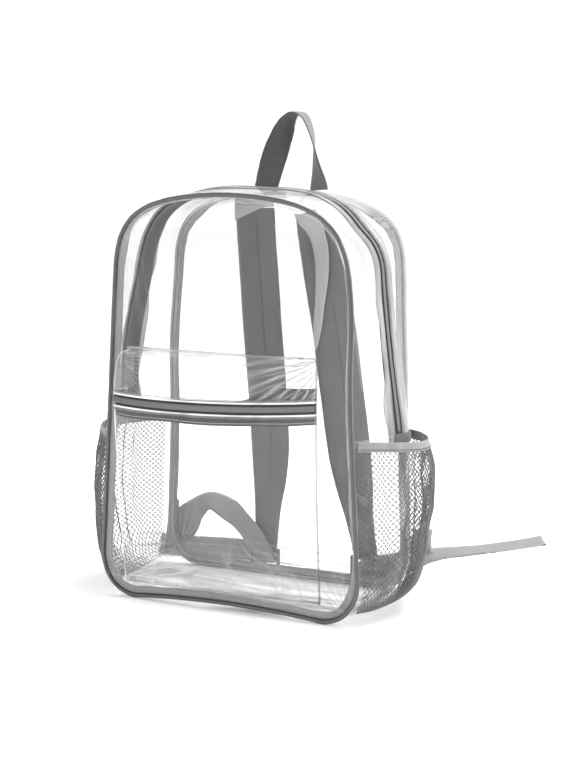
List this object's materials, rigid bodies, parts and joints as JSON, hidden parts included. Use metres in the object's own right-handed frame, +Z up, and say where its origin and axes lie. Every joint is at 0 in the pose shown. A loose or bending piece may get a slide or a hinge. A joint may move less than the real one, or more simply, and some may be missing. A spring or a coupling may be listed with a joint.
{
  "type": "clear stadium backpack",
  "caption": "Clear vinyl backpack with corded seams, arched main zip, front zip pocket, net side pockets, webbing grab loop and flat shoulder straps on ladder-lock buckles.",
  "frame": {"origin": "middle of the bag's flat bottom, on the floor", "axes": "+X towards the viewer's right when the front pocket is seen, +Y from the front pocket towards the shoulder straps, +Z up"},
  "size_m": [0.4807, 0.2578, 0.5126],
  "materials": {
    "clear_vinyl": "clear soft film",
    "piping": "folded woven trim",
    "binding": "woven binding",
    "zip_tape": "woven zip tape",
    "zip_coil": "nylon coil",
    "zip_metal": "lacquered die-cast metal",
    "net": "knitted net",
    "webbing": "woven polyester webbing",
    "strap": "woven fabric, folded and stitched",
    "buckle_plastic": "moulded acetal"
  },
  "bodies": {
    "root": {"front_panel": "clear_vinyl", "back_panel": "clear_vinyl", "front_piping": "piping", "back_piping": "piping", "front_seam_tape": "binding", "back_seam_tape": "binding", "upper_gusset_front": "clear_vinyl", "upper_gusset_rear": "clear_vinyl", "lower_gusset": "clear_vinyl", "main_zip_tape": "zip_tape", "main_zip_coil": "zip_coil", "zip_end_binding_left": "binding", "zip_end_binding_right": "binding", "main_zip_slider": "zip_metal", "pocket_body": "clear_vinyl", "pocket_top": "clear_vinyl", "pocket_zip_tape": "zip_tape", "pocket_zip_coil": "zip_coil", "mesh_pocket_left": "net", "mesh_hem_left": "binding", "mesh_pocket_right": "net", "mesh_hem_right": "binding", "handle": "webbing", "shoulder_strap_left": "strap", "shoulder_strap_right": "strap", "buckle_left": "buckle_plastic", "buckle_right": "buckle_plastic", "lower_webbing_left": "webbing", "lower_webbing_right": "webbing"}
  },
  "joints": []
}
